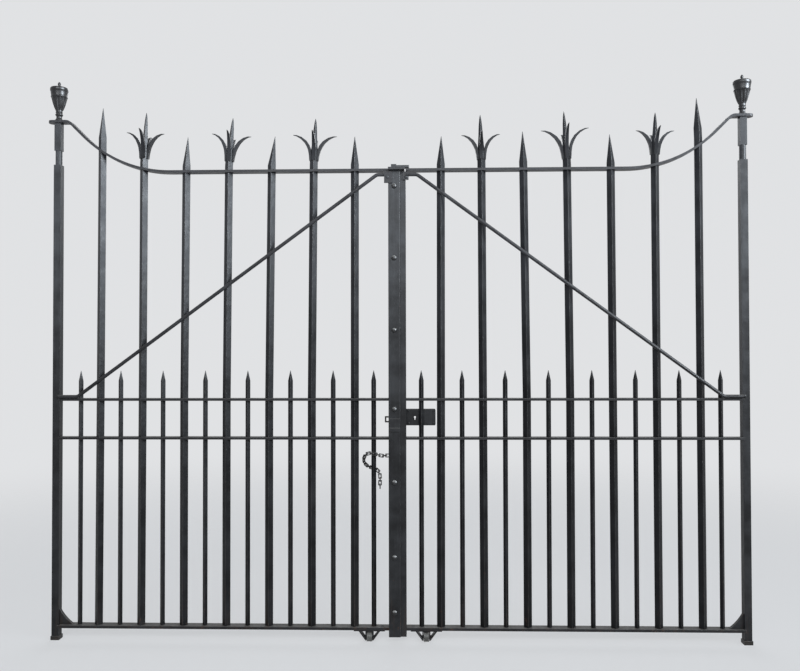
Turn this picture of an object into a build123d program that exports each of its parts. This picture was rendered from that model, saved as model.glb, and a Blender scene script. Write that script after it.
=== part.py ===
from build123d import *
from collections import namedtuple
import math
import os

# A pair of wrought iron carriage gates, closed. Millimetres, Z up, front of the gate facing -Y.
# X runs along the gate from the left hanging axis to the right one. The origin is the middle of
# the underside of the left footstep.
# Each leaf is drawn in its own frame, with X from its hanging axis to the meeting line, and the
# right leaf is then mirrored about the meeting line.

# Layout
bar_pitch = 177.8
tall_bar_count = 7
end_dog_bar_offset = 98.5
leaf_span = bar_pitch * (tall_bar_count + 1)
meeting_gap = 6.0

# Stiles
stile_side = 30.0
stile_head_side = 27.6
stile_foot_z = 17.0
meeting_stile_width = 33.0
meeting_stile_depth = 44.0
meeting_stile_foot_z = 26.0
strip_rest_gap = 0.3

# Slam strip, riveted to the front of the left meeting stile
strip_width = 48.0
strip_thickness = 8.0

# Rails
rail_depth = 40.0
rail_thickness = 10.0
bottom_rail_thickness = 12.0
bottom_rail_top_z = 62.0
lower_rail_z = 835.0
upper_rail_z = 995.0
top_rail_z = 1945.0
rail_lap = 6.0
tenon_depth = 14.0

# Sweep of the top rail up to the stile's head
sweep_rise = 215.0
sweep_angle = 45.0
sweep_radius = 520.0
sweep_start = 110.0
knee_radius = 34.0
rail_past_stile = 42.0

# Bars
tall_bar_side = 24.2
dog_bar_side = 14.6
punch_gap = 0.25
tall_tenon_side = 16.0
dog_tenon_side = 10.0
spear_length = 125.0
spear_rise = 142.0
spike_rise = 218.0
point_side = 1.4
dog_bar_rise = 120.0
dog_point_length = 42.0

# How each tall bar stands now, from the hanging stile to the meeting stile: how far it leans towards
# the meeting stile at the top rail and at its tip, how far its tip stands above the common height,
# and how far its barbs reach and stand above theirs, where it has them
TallBar = namedtuple("TallBar", "rail_lean tip_lean extra_rise barb_reach barb_lift")
left_bars = [
    TallBar(7.0, 9.0, 36.0, 0.0, 0.0),
    TallBar(5.5, 15.5, 19.0, 80.0, 5.0),
    TallBar(7.0, 13.0, 5.0, 0.0, 0.0),
    TallBar(8.0, 25.0, 8.0, 83.0, 8.0),
    TallBar(10.0, 24.0, 5.0, 0.0, 0.0),
    TallBar(8.0, 16.5, 2.0, 92.0, 2.0),
    TallBar(2.0, 2.0, 2.0, 0.0, 0.0),
]
right_bars = [
    TallBar(3.0, 9.0, 54.0, 0.0, 0.0),
    TallBar(3.0, 0.0, 0.0, 79.0, -4.0),
    TallBar(6.0, 10.0, 2.0, 0.0, 0.0),
    TallBar(8.0, 20.0, 22.0, 99.0, 20.0),
    TallBar(10.0, 12.5, 17.0, 0.0, 0.0),
    TallBar(5.0, 10.0, 12.0, 80.0, 0.0),
    TallBar(-4.0, -6.0, 0.0, 0.0, 0.0),
]

# Barbed heads
head_rise = 26.0
shoulder_rise = 64.0
neck_side = 18.0
neck_rise = 104.0
spike_taper = [(0.3, 0.77), (0.62, 0.6), (0.86, 0.36)]
# Up each barb: share of its reach, share of its height, its depth outwards and its width across
barb_stations = [
    (0.0, 0.0, 7.0, 15.0),
    (0.02, 0.22, 9.0, 15.0),
    (0.06, 0.43, 12.0, 15.0),
    (0.14, 0.58, 13.5, 14.5),
    (0.3, 0.75, 11.5, 13.0),
    (0.55, 0.9, 8.0, 10.0),
    (0.8, 0.98, 4.5, 6.0),
    (1.0, 1.0, 1.6, 1.6),
]
barb_root_rise = 43.0
barb_tip_rise = 146.0

# Diagonal brace
brace_radius = 7.5
brace_gap = 0.3
brace_low_bend = 94.0
brace_bend_radius = 24.0
brace_high_gap = 10.0
brace_high_bend = 83.0
palm_thickness = 6.0
left_palm_width = 33.0
left_palm_height = 48.0
right_palm_width = 25.0
right_palm_height = 34.0
low_palm_lap = 13.0

# Head of the hanging stile
journal_radius = 13.5
journal_bottom_z = 1978.0
journal_top_z = 2038.0
stud_side = 14.0
stud_length = 36.0

# Urn
urn_height = 165.0
urn_foot_radius = 16.0
urn_foot_height = 4.0
urn_ring_radius = 16.5
urn_ring_half = 5.0
urn_ring_height = 30.0
urn_neck_radius = 12.5
urn_neck_height = 41.0
urn_belly_radius = 22.8
urn_belly_low_share = 0.73
urn_sides = 24
urn_rim_radius = 35.5
urn_band_radius = 31.0
urn_band_height = 33.0
urn_body_height = 93.0
urn_lid_height = 13.0
urn_knop_radius = 4.5

# Heel
heel_pin_radius = 10.0
running_gap = 0.05
cup_side = 36.0
cup_height = 16.0
cup_floor = 5.0
pin_end_gap = 0.3

# Heel gusset
gusset_length = 58.0
gusset_height = 66.0
gusset_hollow = 0.44
gusset_thickness = 14.0

# Wheel and its bracket under the bottom rail
wheel_inset = 117.0
wheel_radius = 20.0
wheel_width = 21.0
hub_radius = 9.0
hub_width = 22.4
axle_radius = 5.0
ear_gap = 0.3
ear_thickness = 5.0
ear_foot_z = 8.0
crown_thickness = 7.0
bracket_depth = 32.0
bracket_reach = 64.0
bracket_flange = 20.0
bracket_strap = 5.0

# Top catch, on the head of the left meeting stile
catch_depth_front = 50.0
catch_depth_back = 30.0
catch_past_line = 31.0
catch_block_end = 50.0
catch_block_height = 15.0
catch_block_depth = 30.0
catch_clearance = 5.0
catch_tenon_side = 22.0
catch_tenon_rise = 20.0
catch_tenon_inset = 14.0
tab_length = 24.0
tab_depth = 28.0

# Lock on the right leaf, and the staple on the left one that its bolt would shoot into
lock_z = 920.0
lock_height = 68.0
lock_thickness = 22.0
lock_end_gap = 3.0
lock_bar_gap = 0.4
lock_corner = 4.0
bolt_z = 911.0
bolt_height = 16.0
bolt_thickness = 7.0
bolt_inset_y = 12.0
bolt_length = 60.0
bolt_draw = 2.0
keyhole_inset = 36.0
keyhole_radius = 4.5
keyhole_slot = 12.0
keyhole_slot_width = 4.0
staple_bar = 6.0
staple_reach = 17.0
staple_height = 26.0

# Chain, stapled to the left meeting stile and passed once round the last dog bar
link_wire = 3.8
link_width = 7.8
link_length = 15.0
link_play = 1.0
link_cut = 0.25
chain_staple_z = 765.0
chain_staple_y = -16.0
chain_staple_reach = 14.0
chain_staple_height = 16.0
chain_bar_gap = 1.5
# From the staple on: distance past the dog bar, share of the clearance out from it, height
chain_line = [
    (26.0, -0.95, 1.0),
    (2.0, -1.05, 8.0),
    (-24.0, -0.8, 8.0),
    (-41.0, -0.2, -14.0),
    (-33.0, 0.6, -42.0),
    (-8.0, 1.05, -56.0),
    (16.0, 0.8, -66.0),
    (25.0, 0.25, -84.0),
    (26.0, 0.0, -105.0),
    (26.0, 0.0, -135.0),
]

bottom_rail_under_z = bottom_rail_top_z - bottom_rail_thickness
upper_rail_top_z = upper_rail_z + rail_thickness / 2
top_rail_under_z = top_rail_z - rail_thickness / 2
top_rail_top_z = top_rail_z + rail_thickness / 2
stile_head_z = top_rail_under_z + sweep_rise
rail_end_top_z = top_rail_top_z + sweep_rise
stile_half = stile_side / 2
rail_end = leaf_span - meeting_gap / 2 - meeting_stile_width
meeting_stile_end = leaf_span - meeting_gap / 2
meeting_stile_half = meeting_stile_depth / 2
tall_bar_corner = tall_bar_side / math.sqrt(2)
dog_bar_corner = dog_bar_side / math.sqrt(2)
brace_y = -(tall_bar_corner + brace_radius + brace_gap)
strip_front_y = -(meeting_stile_half + strip_thickness)

tall_bar_places = [bar_pitch * (place + 1) for place in range(tall_bar_count)]
inner_dog_bar_places = [bar_pitch * (place + 1.5) for place in range(tall_bar_count - 1)]
last_dog_bar_place = leaf_span - end_dog_bar_offset
dog_bar_places = [end_dog_bar_offset] + inner_dog_bar_places + [last_dog_bar_place]


def block(x_range, y_range, z_range):
    """A box between two values on each axis."""
    size = [high - low for low, high in (x_range, y_range, z_range)]
    middle = [(high + low) / 2 for low, high in (x_range, y_range, z_range)]
    return Pos(*middle) * Box(*size)


def column(x, y, radius, z_low, z_high):
    """An upright round bar."""
    height = z_high - z_low
    return Pos(x, y, z_low + height / 2) * Cylinder(radius, height)


def skin(rings, twisted=False):
    """A closed solid with flat faces between rings of corners, halved where the rings aren't parallel."""
    outlines = [rings[0], rings[-1]]
    for low, high in zip(rings, rings[1:]):
        for corner in range(len(low)):
            before = corner - 1
            if twisted:
                outlines.append([low[before], low[corner], high[corner]])
                outlines.append([low[before], high[corner], high[before]])
            else:
                outlines.append([low[before], low[corner], high[corner], high[before]])
    return Solid(Shell([Face(Wire.make_polygon(outline)) for outline in outlines]))


def on_edge(x, z, side):
    """Corners of a level square on edge, with its corners to the front, back and sides."""
    reach = side / math.sqrt(2)
    return [(x + reach, 0, z), (x, reach, z), (x - reach, 0, z), (x, -reach, z)]


def drawn_bar(stations):
    """A square bar on edge that is drawn through stations of (x, height, side)."""
    return skin([on_edge(*station) for station in stations])


def edge_bar(x, side, z_low, z_high):
    """A square bar on edge between two heights."""
    return drawn_bar([(x, z_low, side), (x, z_high, side)])


def sweep_height(x):
    """Height of the top rail's centre line above its level part, at x from the hanging axis."""
    turn = math.radians(sweep_angle)
    arc_end = sweep_start + sweep_radius * math.sin(turn)
    if x >= arc_end:
        return 0.0
    if x >= sweep_start:
        return sweep_radius - math.sqrt(sweep_radius ** 2 - (arc_end - x) ** 2)
    start_height = sweep_radius * (1 - math.cos(turn))
    return min(start_height + (sweep_start - x) * math.tan(turn), sweep_rise)


def top_rail_edge(rise):
    """One long edge of the top rail's side profile, at a rise above its centre line."""
    turn = math.radians(sweep_angle)
    arc_end = sweep_start + sweep_radius * math.sin(turn)
    arc_height = sweep_radius * (1 - math.cos(turn))
    knee_x = sweep_start - (sweep_rise - arc_height) / math.tan(turn)
    knee_middle = (knee_x - knee_radius * math.tan(turn / 2), top_rail_z + sweep_rise - knee_radius)
    arc_middle = (arc_end, top_rail_z + sweep_radius)

    def on_arc(middle, radius, angle):
        return (middle[0] + radius * math.sin(angle), middle[1] + radius * math.cos(angle))

    knee = [on_arc(knee_middle, knee_radius + rise, turn * step / 2) for step in range(3)]
    arc = [on_arc(arc_middle, rise - sweep_radius, turn * step / 2) for step in (2, 1, 0)]
    line = Line((0, top_rail_z + sweep_rise + rise), knee[0])
    line += ThreePointArc(*knee)
    line += Line(knee[2], arc[0])
    line += ThreePointArc(*arc)
    line += Line(arc[2], (rail_end, top_rail_z + rise))
    return line


def top_rail_face():
    """Side profile of the swept top rail: level end, knee, straight fall, then one long arc."""
    half = rail_thickness / 2
    outline = top_rail_edge(half) + top_rail_edge(-half)
    outline += Line((0, stile_head_z), (0, rail_end_top_z))
    outline += Line((rail_end, top_rail_under_z), (rail_end, top_rail_top_z))
    return make_face(Plane.XZ * outline)


def top_rail(bars):
    """The swept top rail: a round end past the stile's head, and a punched hole for each tall bar."""
    half = rail_depth / 2
    rail = extrude(top_rail_face(), half, both=True)
    rail += block((half - rail_past_stile, 0), (-half, half), (stile_head_z, rail_end_top_z))
    rail += column(half - rail_past_stile, 0, half, stile_head_z, rail_end_top_z)
    rail -= stud(punch_gap)
    side = tall_bar_side + 2 * punch_gap
    for x, bar in zip(tall_bar_places, bars):
        z = top_rail_z + sweep_height(x)
        rail -= drawn_bar([(bar_x(x, bar, end), end, side) for end in (z - rail_depth, z + rail_depth)])
    return rail


def stile_section(side, z_low, z_high, gap=0.0):
    """The square of the hanging stile between two heights, grown by a gap on each side."""
    half = side / 2 + gap
    return block((-half, half), (-half, half), (z_low, z_high))


def level_rail(z_low, z_high, tall_side, dog_side):
    """A level rail punched for its bars, lapped on the hanging stile and tenoned through both."""
    rail = block((stile_half - rail_lap, rail_end), (-rail_depth / 2, rail_depth / 2), (z_low, z_high))
    rail -= stile_section(stile_side, z_low - 1, z_high + 1, punch_gap)
    tenon_y = (-tenon_depth / 2, tenon_depth / 2)
    rail += block((-stile_half, rail_lap + stile_half), tenon_y, (z_low, z_high))
    rail += block((rail_end - rail_lap, meeting_stile_end), tenon_y, (z_low, z_high))
    for x in tall_bar_places:
        rail -= edge_bar(x, tall_side + 2 * punch_gap, z_low - 1, z_high + 1)
    for x in dog_bar_places:
        rail -= edge_bar(x, dog_side + 2 * punch_gap, z_low - 1, z_high + 1)
    return rail


def mid_rail(z):
    """A mid rail, which the tall bars and the dog bars pass through."""
    half = rail_thickness / 2
    return level_rail(z - half, z + half, tall_bar_side, dog_bar_side)


def bottom_rail():
    """The bottom rail, punched for the tenons at the feet of the bars."""
    return level_rail(bottom_rail_under_z, bottom_rail_top_z, tall_tenon_side, dog_tenon_side)


def mortise(x_range, z_low, z_high):
    """A mortise for a rail's tenon, with a gap all round."""
    half = tenon_depth / 2 + punch_gap
    return block(x_range, (-half, half), (z_low - punch_gap, z_high + punch_gap))


def rail_mortises(x_range):
    """The mortises of the two mid rails and the bottom rail."""
    cuts = []
    for z in (lower_rail_z, upper_rail_z):
        cuts.append(mortise(x_range, z - rail_thickness / 2, z + rail_thickness / 2))
    cuts.append(mortise(x_range, bottom_rail_under_z, bottom_rail_top_z))
    return cuts


def stud(gap=0.0):
    """The square stud on the stile's head, which carries the top rail's end and the urn."""
    half = stud_side / 2 + gap
    return block((-half, half), (-half, half), (stile_head_z - gap, stile_head_z + stud_length + gap))


def hanging_stile():
    """Square stile with a heel pin, a turned journal below its head and a stud on top."""
    stile = stile_section(stile_side, stile_foot_z, journal_bottom_z)
    stile += column(0, 0, journal_radius, journal_bottom_z, journal_top_z)
    stile += stile_section(stile_head_side, journal_top_z, stile_head_z)
    stile += stud()
    stile += column(0, 0, heel_pin_radius, cup_floor + pin_end_gap, stile_foot_z)
    for cut in rail_mortises((-stile_half - 1, stile_half + 1)):
        stile -= cut
    return stile


def meeting_stile(front_y, head_z):
    """Meeting stile, mortised for the level rails and slotted for the lock bolt."""
    y_range = (front_y, meeting_stile_half)
    stile = block((rail_end, meeting_stile_end), y_range, (meeting_stile_foot_z, head_z))
    for cut in rail_mortises((rail_end - 1, meeting_stile_end + 1)):
        stile -= cut
    return stile - bolt_slot()


def bar_x(x, bar, z):
    """Middle of a tall bar at a height: upright below the upper mid rail, leaning above it."""
    rail_z = top_rail_z + sweep_height(x)
    share = max(0.0, (z - upper_rail_top_z) / (rail_z - upper_rail_top_z))
    return x + share * bar.rail_lean


def tall_bar(x, bar, head, tip_rise):
    """A tall bar from its tenon in the bottom rail up through its head's (rise, side) stations."""
    rail_z = top_rail_z + sweep_height(x)
    lean = (bar.tip_lean - bar.rail_lean) / (tip_rise - head_rise)
    head_x = bar_x(x, bar, rail_z + head_rise)
    stations = [
        (x, bottom_rail_under_z, tall_tenon_side),
        (x, bottom_rail_top_z, tall_tenon_side),
        (x, bottom_rail_top_z, tall_bar_side),
        (x, upper_rail_top_z, tall_bar_side),
        (head_x, rail_z + head_rise, tall_bar_side),
    ]
    for rise, side in head:
        stations.append((head_x + lean * (rise - head_rise), rail_z + rise, side))
    return drawn_bar(stations)


def spear_bar(x, bar):
    """A tall bar with a plain four-sided spear point."""
    tip_rise = spear_rise + bar.extra_rise
    head = [(tip_rise - spear_length, tall_bar_side), (tip_rise, point_side)]
    if tip_rise - spear_length <= head_rise:
        head = head[1:]
    return tall_bar(x, bar, head, tip_rise)


def spike_head(tip_rise):
    """Rise and side up a barbed bar's spike: shoulder, neck, then a taper that draws in to the point."""
    height = tip_rise - neck_rise
    drawn = [(neck_rise + height * up, neck_side * share) for up, share in spike_taper]
    return [(shoulder_rise, tall_bar_side), (neck_rise, neck_side)] + drawn + [(tip_rise, point_side)]


def spiked_bar(x, bar):
    """A tall bar that is drawn down above the roots of its barbs and ends in a long spike."""
    tip_rise = spike_rise + bar.extra_rise
    return tall_bar(x, bar, spike_head(tip_rise), tip_rise)


def barb(reach, lift):
    """One barb, up the bar's corner and then out along +X, drawn from a flat root to a point."""
    root_x = tall_bar_corner - barb_stations[0][2] / 4
    height = barb_tip_rise + lift - barb_root_rise
    points = [(root_x + out * (reach - root_x), barb_root_rise + up * height) for out, up, *_ in barb_stations]
    rings = []
    for place, (x, z) in enumerate(points):
        before = points[max(place - 1, 0)]
        after = points[min(place + 1, len(points) - 1)]
        heading = (after[0] - before[0], 0, after[1] - before[1])
        plane = Plane(origin=(x, 0, z), x_dir=(0, 1, 0), z_dir=heading)
        depth, width = barb_stations[place][2:]
        corners = [(width, depth), (-width, depth), (-width, -depth), (width, -depth)]
        rings.append([plane.from_local_coords((across / 2, out / 2, 0)) for across, out in corners])
    return skin(rings, twisted=True)


def barbed_head(x, bar):
    """Four barbs round one head, to the left, right, front and back, seated on the bar's corners."""
    tip_rise = spike_rise + bar.extra_rise
    stations = [(head_rise, tall_bar_side)] + spike_head(tip_rise)
    seat = drawn_bar([(0, rise, side + 2 * punch_gap) for rise, side in stations])
    seated = barb(bar.barb_reach, bar.barb_lift) - seat
    rail_z = top_rail_z + sweep_height(x)
    turn = math.degrees(math.atan2(bar.tip_lean - bar.rail_lean, tip_rise - head_rise))
    base = Pos(bar_x(x, bar, rail_z + head_rise), 0, rail_z + head_rise) * Rot(0, turn, 0) * Pos(0, 0, -head_rise)
    return [base * (Rot(0, 0, angle) * seated) for angle in (0, 90, 180, 270)]


def dog_bar(x):
    """A short bar with a sharp point just above the upper mid rail, tenoned in the bottom rail."""
    tip_z = upper_rail_z + dog_bar_rise
    return drawn_bar([
        (x, bottom_rail_under_z, dog_tenon_side),
        (x, bottom_rail_top_z, dog_tenon_side),
        (x, bottom_rail_top_z, dog_bar_side),
        (x, tip_z - dog_point_length, dog_bar_side),
        (x, tip_z, point_side),
    ])


def brace(palm_back_y, palm_width, palm_height):
    """The round brace in front of the bars, with a flattened palm at each end."""
    low_z = upper_rail_top_z + brace_radius + brace_gap
    high_z = top_rail_under_z - brace_high_gap - brace_radius
    palm_z = top_rail_under_z - catch_clearance
    start = (stile_half + brace_gap, low_z)
    finish = (rail_end - brace_gap, high_z)
    bends = [(brace_low_bend, low_z), (leaf_span - brace_high_bend, high_z)]
    path = Plane.XZ * FilletPolyline(start, *bends, finish, radius=brace_bend_radius)
    section = Plane(origin=(start[0], 0, start[1]), z_dir=(1, 0, 0)) * RegularPolygon(brace_radius, 12)
    rod = Pos(0, brace_y, 0) * sweep(section, path)
    low_palm_x = (stile_half - low_palm_lap, stile_half + brace_radius)
    low_palm_y = (-stile_half - palm_thickness, -stile_half)
    rod += block(low_palm_x, low_palm_y, (low_z - brace_radius, low_z + brace_radius))
    high_palm_x = (rail_end - palm_width / 2, rail_end + palm_width / 2)
    high_palm_y = (palm_back_y - palm_thickness, palm_back_y)
    rod += block(high_palm_x, high_palm_y, (palm_z - palm_height, palm_z))
    return rod


def urn():
    """A covered urn: foot, ring, rounded bowl, plain band, low lid and a pointed knop."""
    foot_z = rail_end_top_z
    ring_z = foot_z + urn_ring_height
    bowl_z = foot_z + urn_neck_height
    rim_z = bowl_z + urn_body_height
    band_z = rim_z - urn_band_height
    profile = [
        (foot_z, urn_foot_radius),
        (foot_z + urn_foot_height, urn_foot_radius),
        (foot_z + 2 * urn_foot_height, urn_neck_radius),
        (ring_z - urn_ring_half, urn_neck_radius),
        (ring_z, urn_ring_radius),
        (ring_z + urn_ring_half, urn_neck_radius),
        (bowl_z, urn_neck_radius),
        (bowl_z + 0.2 * (band_z - bowl_z), urn_belly_radius * urn_belly_low_share),
        (bowl_z + 0.5 * (band_z - bowl_z), urn_belly_radius),
        (band_z, urn_band_radius),
        (rim_z, urn_rim_radius),
        (rim_z + urn_lid_height, urn_knop_radius),
        (foot_z + urn_height, point_side),
    ]
    turns = [2 * math.pi * side / urn_sides for side in range(urn_sides)]
    body = skin([[(r * math.cos(turn), r * math.sin(turn), z) for turn in turns] for z, r in profile])
    return body - stud(punch_gap)


def gusset():
    """Triangular web in the heel corner, with a hollowed edge."""
    x = stile_half
    z = bottom_rail_top_z
    corner = (x, z)
    upper = (x, z + gusset_height)
    outer = (x + gusset_length, z)
    hollow = (x + gusset_length * gusset_hollow, z + gusset_height * gusset_hollow)
    outline = Line(corner, upper) + ThreePointArc(upper, hollow, outer) + Line(outer, corner)
    return extrude(make_face(Plane.XZ * outline), gusset_thickness / 2, both=True)


def wheel_place():
    """Distance of the wheel from the hanging axis."""
    return leaf_span - wheel_inset


def wheel():
    """Small solid gate wheel with a bored hub standing out on both sides, on an axle along X."""
    bore = axle_radius + running_gap
    half = [
        (bore, hub_width / 2),
        (hub_radius, hub_width / 2),
        (hub_radius, wheel_width / 2),
        (wheel_radius, wheel_width / 2),
    ]
    outline = half + [(radius, -along) for radius, along in reversed(half)]
    solid = revolve(make_face(Plane.XZ * Polyline(*outline, close=True)), Axis.Z)
    return Pos(wheel_place(), 0, wheel_radius) * (Rot(0, 90, 0) * solid)


def wheel_bracket():
    """Bracket under the bottom rail: a crown, two ears with the axle riveted in them, two stays."""
    ear_in = hub_width / 2 + ear_gap
    ear_out = ear_in + ear_thickness
    crown_z = bottom_rail_under_z - crown_thickness
    strap_z = bottom_rail_under_z - bracket_strap
    flange_in = bracket_reach - bracket_flange
    outline = Polyline(
        (ear_in, crown_z),
        (ear_in, ear_foot_z),
        (ear_out, ear_foot_z),
        (flange_in, strap_z),
        (bracket_reach, strap_z),
        (bracket_reach, bottom_rail_under_z),
        (0, bottom_rail_under_z),
        (0, crown_z),
        close=True,
    )
    slope = (strap_z - ear_foot_z) / (flange_in - ear_out)
    strap_rise = bracket_strap * math.sqrt(1 + slope ** 2)
    window_x = flange_in - strap_rise / slope
    window = Polyline(
        (ear_out, ear_foot_z + strap_rise),
        (ear_out, strap_z),
        (window_x, strap_z),
        close=True,
    )
    half = make_face(Plane.XZ * outline) - make_face(Plane.XZ * window)
    side = extrude(half, bracket_depth / 2, both=True)
    bracket = side + mirror(side, about=Plane.YZ)
    bracket += Pos(0, 0, wheel_radius) * (Rot(0, 90, 0) * Cylinder(axle_radius, 2 * ear_in))
    return Pos(wheel_place(), 0, 0) * bracket


def footstep():
    """Square block with a cup that the heel pin stands and turns in."""
    cup = block((-cup_side / 2, cup_side / 2), (-cup_side / 2, cup_side / 2), (0, cup_height))
    return cup - column(0, 0, heel_pin_radius + running_gap, cup_floor, cup_height + 1)


def left_top_rail():
    """The left top rail runs over the meeting stile and ends in a plate that covers both stiles."""
    plate_x = (rail_end, leaf_span + catch_past_line)
    plate_y = (-catch_depth_front, catch_depth_back)
    rail = top_rail(left_bars) + block(plate_x, plate_y, (top_rail_under_z, top_rail_top_z))
    return rail - left_catch_tenon(punch_gap)


def left_catch_tenon(gap=0.0):
    """The square tenon on the head of the left meeting stile."""
    middle = leaf_span - catch_tenon_inset
    half = catch_tenon_side / 2 + gap
    z_range = (top_rail_under_z - gap, top_rail_top_z + catch_tenon_rise)
    return block((middle - half, middle + half), (-half, half), z_range)


def left_top_catch():
    """Block riveted on the end plate, stepped so that it clears the right rail's end."""
    past = leaf_span + catch_past_line
    y_range = (-catch_block_depth / 2, catch_block_depth / 2)
    start = leaf_span - catch_tenon_inset + catch_tenon_side / 2 + punch_gap
    z_high = top_rail_top_z + catch_block_height
    solid = block((start, leaf_span + catch_block_end), y_range, (top_rail_top_z, z_high))
    under_z = (top_rail_top_z - 1, top_rail_top_z + catch_clearance)
    return solid - block((past, past + catch_block_end), (-rail_depth, rail_depth), under_z)


def right_top_rail():
    """The right top rail ends in a tab that turns down against its meeting stile."""
    tab_x = (rail_end - rail_thickness, rail_end)
    tab_z = (top_rail_under_z - tab_length, top_rail_top_z)
    return top_rail(right_bars) + block(tab_x, (-tab_depth / 2, tab_depth / 2), tab_z)


def lock_case():
    """Flat lock case behind the dog bar, between the meeting stile and the nearest tall bar."""
    x_low = tall_bar_places[-1] + tall_bar_corner + lock_end_gap
    y_low = dog_bar_corner + lock_bar_gap
    y_high = y_low + lock_thickness
    z_range = (lock_z - lock_height / 2, lock_z + lock_height / 2)
    case = block((x_low, rail_end), (y_low, y_high), z_range)
    case = chamfer(case.edges().filter_by(Axis.Y).group_by(Axis.X)[0], lock_corner)
    keyhole_x = rail_end - keyhole_inset
    turned = Pos(keyhole_x, y_low + lock_thickness / 2, lock_z) * Rot(90, 0, 0)
    case -= turned * Cylinder(keyhole_radius, lock_thickness + 2)
    slot_x = (keyhole_x - keyhole_slot_width / 2, keyhole_x + keyhole_slot_width / 2)
    case -= block(slot_x, (y_low - 1, y_high + 1), (lock_z - keyhole_slot, lock_z))
    return case - lock_bolt(punch_gap)


def lock_bolt(gap=0.0):
    """The square bolt, drawn back inside the meeting stile."""
    x_range = (meeting_stile_end - bolt_draw - bolt_length - gap, meeting_stile_end - bolt_draw + gap)
    y_range = (bolt_inset_y - gap, bolt_inset_y + bolt_thickness + gap)
    z_range = (bolt_z - bolt_height / 2 - gap, bolt_z + bolt_height / 2 + gap)
    return block(x_range, y_range, z_range)


def bolt_slot():
    """The slot through a meeting stile that the bolt runs in."""
    y_range = (bolt_inset_y - punch_gap, bolt_inset_y + bolt_thickness + punch_gap)
    half = bolt_height / 2 + punch_gap
    return block((rail_end - 1, meeting_stile_end + 1), y_range, (bolt_z - half, bolt_z + half))


def staple(bar, y, z, reach, height):
    """A square iron staple standing out from the inner side of the left meeting stile."""
    y_range = (y - bar / 2, y + bar / 2)
    whole = block((rail_end - reach, rail_end), y_range, (z - height / 2, z + height / 2))
    inner_z = (z - height / 2 + bar, z + height / 2 - bar)
    return whole - block((rail_end - reach + bar, rail_end + 1), (y_range[0] - 1, y_range[1] + 1), inner_z)


def bolt_staple():
    """Staple on the left meeting stile, round the place where the bolt comes through."""
    return staple(staple_bar, bolt_inset_y + bolt_thickness / 2, bolt_z, staple_reach, staple_height)


def slam_strip():
    """Flat strip down the front of the left meeting stile, lapping the right one."""
    x_range = (rail_end, rail_end + strip_width)
    y_range = (strip_front_y, -meeting_stile_half)
    return block(x_range, y_range, (meeting_stile_foot_z, top_rail_under_z))


def link():
    """One chain link about the origin, long in X and wide in Y, with its ends cut to a half octagon."""
    half_length = link_length / 2
    half_width = link_width / 2

    def ring(grow):
        length = half_length + grow
        width = half_width + grow
        cut = width * link_cut
        quarter = [(length, width - cut), (length - cut, width)]
        points = quarter + [(-x, y) for x, y in reversed(quarter)]
        return points + [(-x, -y) for x, y in points]

    outer = make_face(Polyline(*ring(link_wire), close=True))
    inner = make_face(Polyline(*ring(0.0), close=True))
    return extrude(outer - inner, link_wire / 2, both=True)


def chain_joints():
    """Points an even step apart along the chain's line, where one link hangs in the next."""
    clear = dog_bar_corner + link_width / 2 + link_wire + chain_bar_gap
    start_x = rail_end - chain_staple_reach + link_wire
    points = [(start_x, chain_staple_y, chain_staple_z)]
    for along, out, up in chain_line:
        points.append((last_dog_bar_place + along, out * clear, chain_staple_z + up))
    line = Spline(*points)
    count = math.ceil(line.length / (link_length - link_play))
    return [line @ (place / count) for place in range(count + 1)]


def chain():
    """The chain's staple and its links, each turned a quarter from the one before."""
    pieces = [staple(link_wire, chain_staple_y, chain_staple_z, chain_staple_reach, chain_staple_height)]
    joints = chain_joints()
    one = link()
    across = Vector(0, 1, 0)
    for first, second in zip(joints, joints[1:]):
        along = (second - first).normalized()
        across = (across - along * along.dot(across)).normalized()
        pieces.append(Plane(origin=(first + second) * 0.5, x_dir=along, z_dir=along.cross(across)) * one)
        across = along.cross(across)
    return as_one(pieces)


def to_right(shape):
    """Mirror a shape about the meeting line."""
    return mirror(shape, about=Plane.YZ.offset(leaf_span))


def as_one(shapes):
    """Solids that don't touch, kept as one node."""
    solids = [solid for shape in shapes for solid in shape.solids()]
    return Compound(children=solids)


def leaf_ironwork(bars):
    """The pieces that both leaves share, in the left leaf's place."""
    tall_bars = []
    barbs = []
    for x, bar in zip(tall_bar_places, bars):
        if bar.barb_reach > 0:
            tall_bars.append(spiked_bar(x, bar))
            barbs += barbed_head(x, bar)
        else:
            tall_bars.append(spear_bar(x, bar))
    return {
        "hanging_stile": hanging_stile(),
        "upper_rail": mid_rail(upper_rail_z),
        "lower_rail": mid_rail(lower_rail_z),
        "bottom_rail": bottom_rail(),
        "tall_bars": as_one(tall_bars),
        "barbs": as_one(barbs),
        "dog_bars": as_one([dog_bar(x) for x in dog_bar_places]),
        "urn": urn(),
        "gusset": gusset(),
        "wheel_bracket": wheel_bracket(),
        "wheel": wheel(),
        "footstep": footstep(),
    }


def left_leaf():
    """Every piece on the left."""
    pieces = leaf_ironwork(left_bars)
    pieces["meeting_stile"] = meeting_stile(-meeting_stile_half, top_rail_under_z) + left_catch_tenon()
    pieces["top_rail"] = left_top_rail()
    pieces["top_catch"] = left_top_catch()
    pieces["slam_strip"] = slam_strip()
    pieces["brace"] = brace(strip_front_y, left_palm_width, left_palm_height)
    pieces["bolt_staple"] = bolt_staple()
    pieces["chain"] = chain()
    return {f"left_{name}": shape for name, shape in pieces.items()}


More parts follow.
